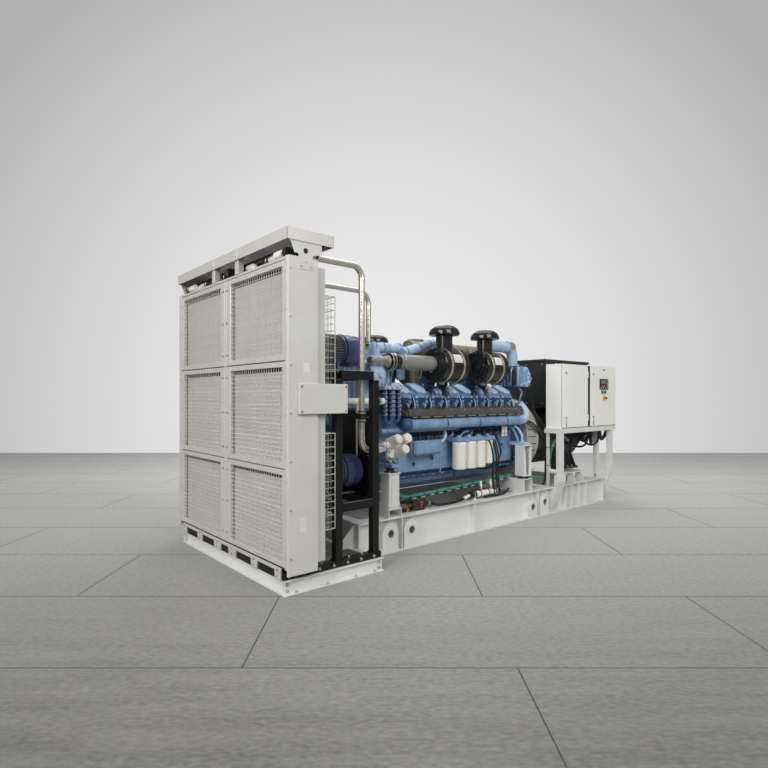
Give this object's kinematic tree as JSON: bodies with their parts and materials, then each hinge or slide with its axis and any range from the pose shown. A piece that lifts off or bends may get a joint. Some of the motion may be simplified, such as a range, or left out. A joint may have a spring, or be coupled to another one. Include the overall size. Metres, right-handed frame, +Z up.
{
  "type": "diesel generator set",
  "caption": "Open diesel generator set on a steel skid: V engine, alternator, tall radiator with electric fans and two switch cabinets with hinged doors.",
  "frame": {"origin": "centre of the anchor bolt pattern, on the floor in the middle of the main skid", "axes": "+X along the shaft from the radiator to the alternator, cabinets on the -Y side, +Z up"},
  "size_m": [6.169, 2.414, 2.985],
  "materials": {
    "alternator_black": "satin black paint",
    "cabinet_grey": "satin powder coat",
    "casing_grey": "satin pale grey powder coat",
    "cast_silver": "bare casting",
    "conduit_black": "ribbed black conduit",
    "core_fins": "bare fins",
    "cowl_blue": "satin violet blue paint",
    "engine_blue": "satin light blue paint on castings",
    "engine_blue_light": "satin pale blue paint",
    "exhaust_tan": "heat shield sheet",
    "fan_grey": "matt",
    "filter_black": "gloss black paint",
    "filter_cream": "satin cream paint",
    "filter_white": "gloss white paint",
    "galvanised": "galvanised sheet",
    "hose_teal": "ribbed rubber hose",
    "housing_grey": "painted casting",
    "motor_black": "satin",
    "panel_black": "dark display panel",
    "pipe_steel": "brushed stainless pipe",
    "skid_grey": "satin light grey paint",
    "stand_black": "satin black paint",
    "trunk_black": "matt black",
    "wire_cream": "cream coated wire"
  },
  "bodies": {
    "root": {"skid_beams": "skid_grey", "skid_cross_members": "skid_grey", "drip_tray": "skid_grey", "lifting_lugs": "skid_grey", "engine_beams": "skid_grey", "radiator_skid_sides": "skid_grey", "radiator_skid_ends": "skid_grey", "radiator_base_strip": "galvanised", "radiator_core": "core_fins", "radiator_sides": "casing_grey", "grille_panels": "galvanised", "radiator_roof": "galvanised", "header_pipes": "casing_grey", "fan_shroud": "casing_grey", "fan_guards": "wire_cream", "fan_wheels": "fan_grey", "motor_stand_sides": "stand_black", "motor_stand_rails": "stand_black", "stand_panels": "stand_black", "fan_motors": "motor_black", "motor_cowls": "cowl_blue", "junction_box": "casing_grey", "coolant_pipe_side": "pipe_steel", "coolant_pipe_centre": "pipe_steel", "coolant_pipe_low": "filter_cream", "engine_block": "engine_blue", "oil_sump": "engine_blue", "gear_case": "engine_blue", "front_tubes": "engine_blue", "cylinder_heads": "engine_blue", "valve_covers": "engine_blue_light", "rail_trunks": "trunk_black", "coolant_manifolds": "engine_blue", "air_filters": "filter_black", "intake_ducts": "filter_black", "turbochargers": "cast_silver", "charge_air_cooler": "engine_blue_light", "charge_air_pipes": "engine_blue_light", "exhaust_pipe": "exhaust_tan", "rear_elbow": "engine_blue_light", "spin_on_filters": "filter_white", "front_filters": "filter_cream", "engine_controller": "engine_blue", "flywheel_housing": "engine_blue", "coupling_guard": "housing_grey", "engine_feet": "skid_grey", "skid_auxiliaries": "skid_grey", "alternator": "alternator_black", "alternator_feet": "skid_grey", "terminal_box": "alternator_black", "cabinet_posts": "skid_grey", "cabinet_rails": "skid_grey", "power_cabinet": "cabinet_grey", "control_cabinet": "cabinet_grey", "drain_hose": "hose_teal", "cable_loop_a": "conduit_black", "cable_loop_b": "conduit_black"},
    "power_door": {"power_cabinet_door": "cabinet_grey"},
    "control_door": {"control_cabinet_door": "cabinet_grey", "control_panel": "panel_black"}
  },
  "joints": [
    {"name": "power_door_hinge", "type": "hinge", "parent": "root", "child": "power_door", "pos_m": [1.777, -0.806, 1.179], "axis": [0, 0, 1], "range_deg": [0, 100]},
    {"name": "control_door_hinge", "type": "hinge", "parent": "root", "child": "control_door", "pos_m": [2.616, -0.806, 1.179], "axis": [0, 0, 1], "range_deg": [0, 100]}
  ]
}
